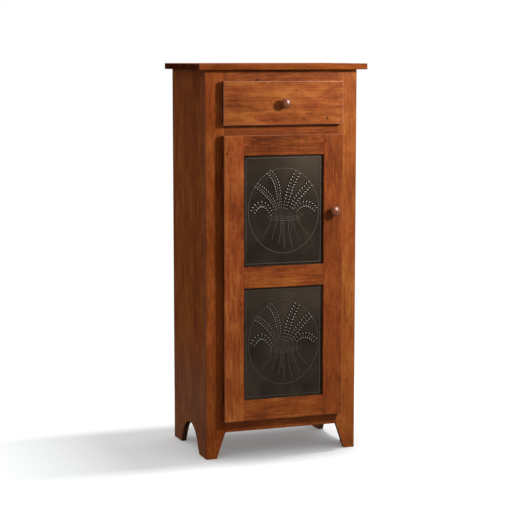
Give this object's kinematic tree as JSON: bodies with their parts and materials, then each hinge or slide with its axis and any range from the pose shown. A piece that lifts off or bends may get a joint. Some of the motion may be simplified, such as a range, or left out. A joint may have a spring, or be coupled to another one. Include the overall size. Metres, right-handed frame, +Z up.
{
  "type": "pie safe",
  "caption": "Tall narrow cupboard with an overlay drawer above a hinged door that holds punched-tin panels, on bracket feet, with adjustable shelves inside.",
  "frame": {"origin": "on the floor, under the middle of the whole piece's width and of its depth from the tip of the door's knob to the back edge", "axes": "+X to the right seen from the front, +Y towards the back (the front faces -Y), +Z up"},
  "size_m": [0.617, 0.4296, 1.372],
  "materials": {
    "stained_cherry": "reddish-brown stain with dark flecks, satin topcoat",
    "stained_inside_wood": "same stain, thinner, low sheen",
    "natural_maple": "clear oil, low sheen",
    "punched_tin": "dark bronze patina, satin",
    "pin_brass": "plain",
    "zinc_steel": "zinc plated",
    "dark_nails": "black oxide",
    "hinge_bronze": "oil-rubbed bronze, satin",
    "brown_plastic": "moulded, matt",
    "felt_pad": "brown felt",
    "turned_knob_wood": "dark stain under gloss lacquer"
  },
  "bodies": {
    "case": {"top_board": "stained_cherry", "left_side": "stained_cherry", "right_side": "stained_cherry", "frame_left_stile": "stained_cherry", "frame_right_stile": "stained_cherry", "frame_top_rail": "stained_cherry", "frame_middle_rail": "stained_cherry", "frame_bottom_rail": "stained_cherry", "bottom_panel": "stained_inside_wood", "divider_panel": "stained_inside_wood", "front_cleat": "natural_maple", "rear_cleat": "natural_maple", "back_board_1": "stained_inside_wood", "back_board_2": "stained_inside_wood", "back_board_3": "stained_inside_wood", "back_board_4": "stained_inside_wood", "back_nails": "dark_nails", "lower_shelf": "stained_inside_wood", "upper_shelf": "stained_inside_wood", "shelf_pins": "pin_brass", "left_runner": "natural_maple", "right_runner": "natural_maple", "kicker": "natural_maple", "case_screws": "zinc_steel", "lower_hinge_frame_leaf": "hinge_bronze", "upper_hinge_frame_leaf": "hinge_bronze", "hinge_pins": "hinge_bronze", "hinge_frame_screws": "hinge_bronze", "catch_housing": "brown_plastic", "catch_magnet": "zinc_steel", "catch_screws": "hinge_bronze"},
    "door": {"door_hinge_stile": "stained_cherry", "door_latch_stile": "stained_cherry", "door_top_rail": "stained_cherry", "door_middle_rail": "stained_cherry", "door_bottom_rail": "stained_cherry", "upper_tin": "punched_tin", "lower_tin": "punched_tin", "upper_tin_strips": "stained_cherry", "lower_tin_strips": "stained_cherry", "tin_brads": "dark_nails", "lower_hinge_door_leaf": "hinge_bronze", "upper_hinge_door_leaf": "hinge_bronze", "hinge_door_screws": "hinge_bronze", "catch_strike": "zinc_steel", "door_bumpers": "felt_pad", "door_knob": "turned_knob_wood", "door_knob_screw": "zinc_steel"},
    "drawer": {"drawer_front": "stained_cherry", "drawer_box_front": "natural_maple", "drawer_left_side": "natural_maple", "drawer_right_side": "natural_maple", "drawer_back": "natural_maple", "drawer_bottom": "natural_maple", "drawer_stop": "natural_maple", "drawer_screws": "zinc_steel", "drawer_knob": "turned_knob_wood", "drawer_knob_screw": "zinc_steel"}
  },
  "joints": [
    {"name": "door_hinge", "type": "hinge", "parent": "case", "child": "door", "pos_m": [-0.2235, -0.16425, 0.63], "axis": [0, 0, -1], "range_deg": [0, 100]},
    {"name": "drawer_slide", "type": "slide", "parent": "case", "child": "drawer", "axis": [0, -1, 0], "range_m": [0, 0.22]}
  ]
}
